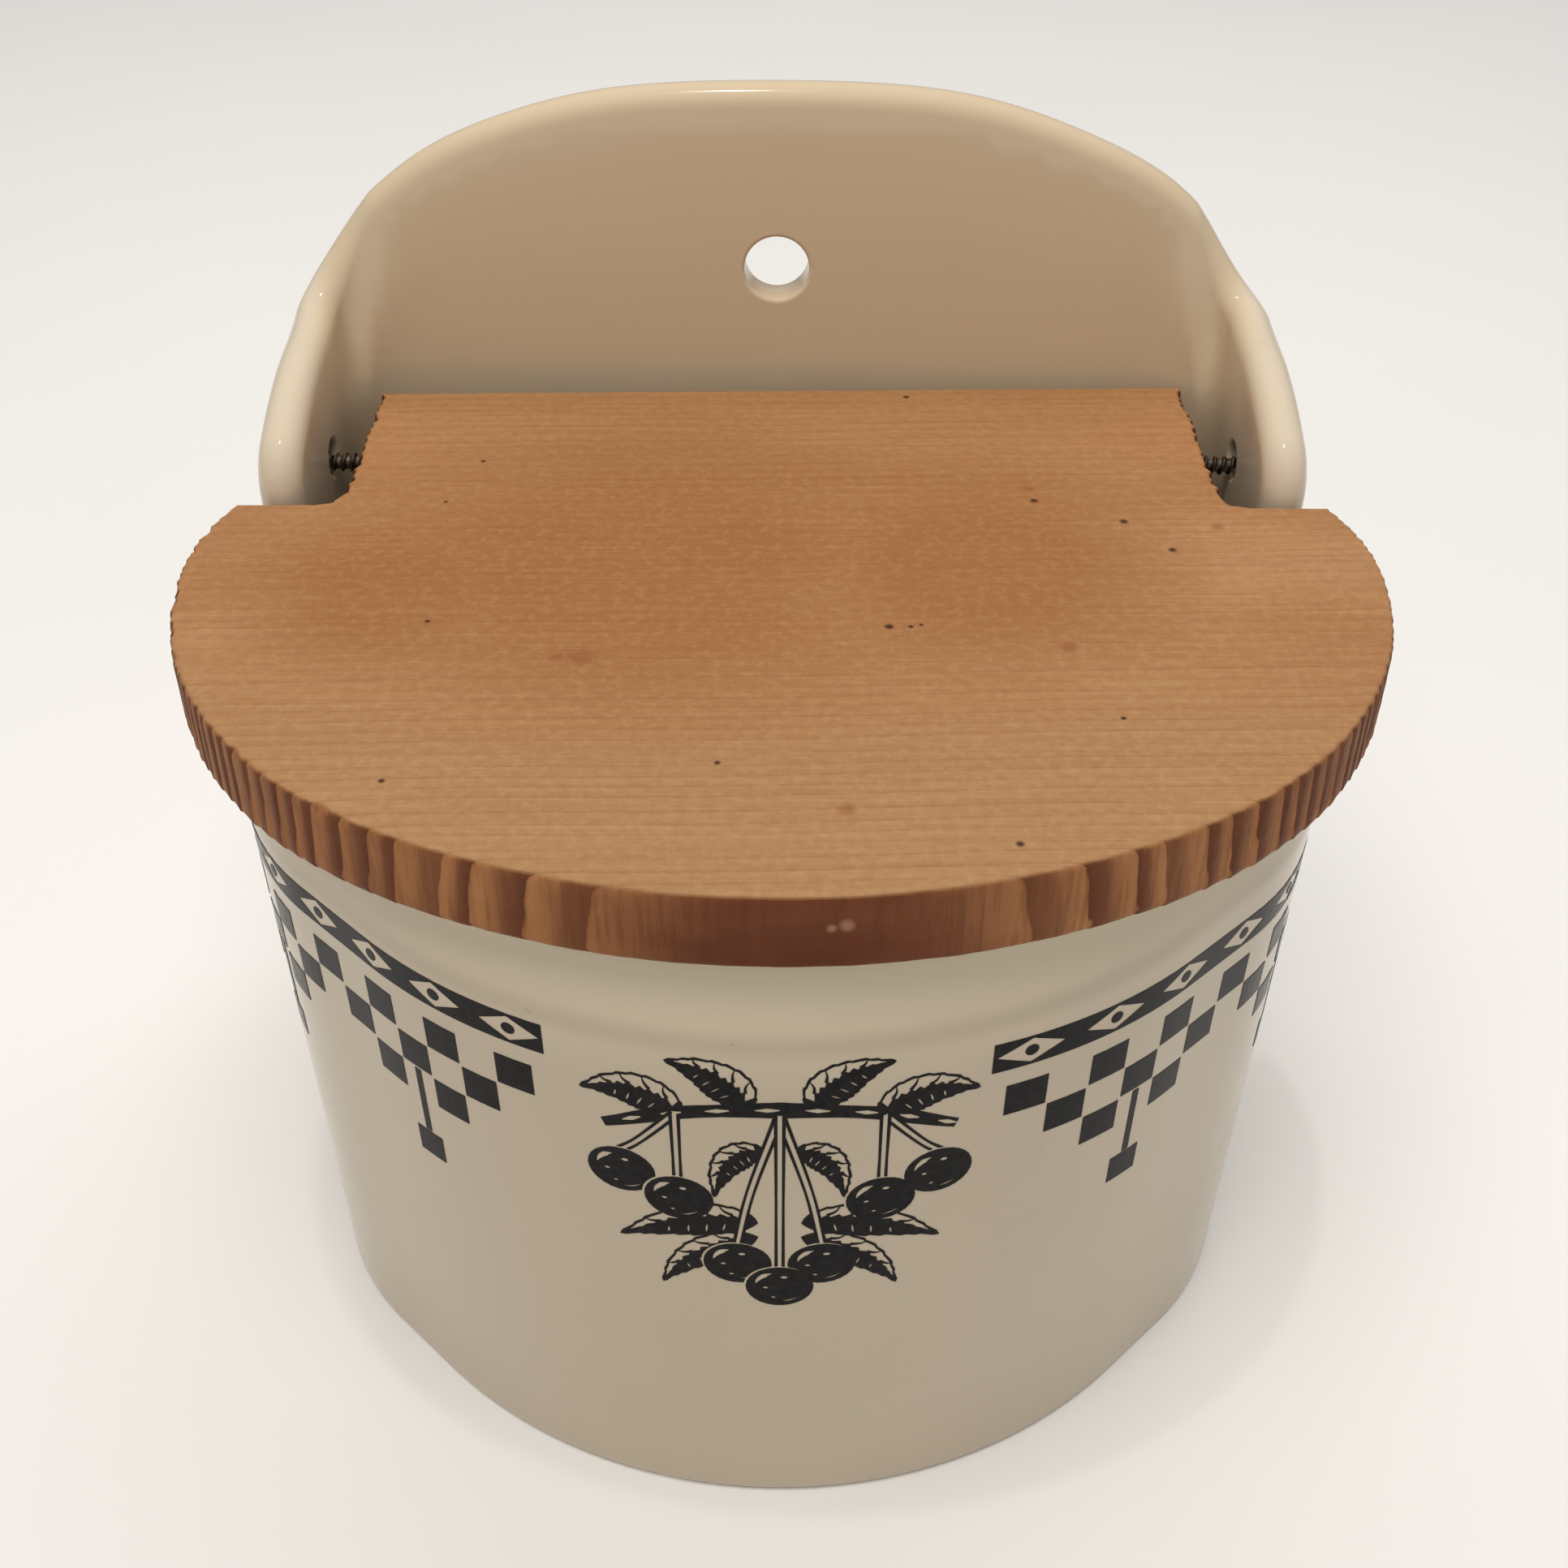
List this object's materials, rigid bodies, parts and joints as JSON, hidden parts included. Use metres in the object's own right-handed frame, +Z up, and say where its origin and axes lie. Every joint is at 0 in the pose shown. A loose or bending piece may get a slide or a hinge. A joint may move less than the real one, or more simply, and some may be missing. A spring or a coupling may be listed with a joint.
{
  "type": "wall salt box",
  "caption": "Glazed ceramic wall salt box with a D-plan pot, an arched back plate with a hanging hole, and a wooden lid that swings up between two cheeks.",
  "frame": {"origin": "under the middle of the bounding box, on the plane that the pot stands on", "axes": "+X to the right seen from the front, +Y to the wall behind the back plate, +Z up along the back plate"},
  "size_m": [0.176, 0.1452, 0.181],
  "materials": {
    "glazed_pot": "gloss",
    "pine_board": "bare, sanded",
    "screw_steel": "dull"
  },
  "bodies": {
    "box": {"ceramic_box": "glazed_pot"},
    "lid": {"lid_board": "pine_board", "left_pivot_screw": "screw_steel", "right_pivot_screw": "screw_steel"}
  },
  "joints": [
    {"name": "lid_pivot", "type": "hinge", "parent": "box", "child": "lid", "pos_m": [0, 0.0448, 0.125], "axis": [-1, 0, 0], "range_deg": [0, 105]}
  ]
}
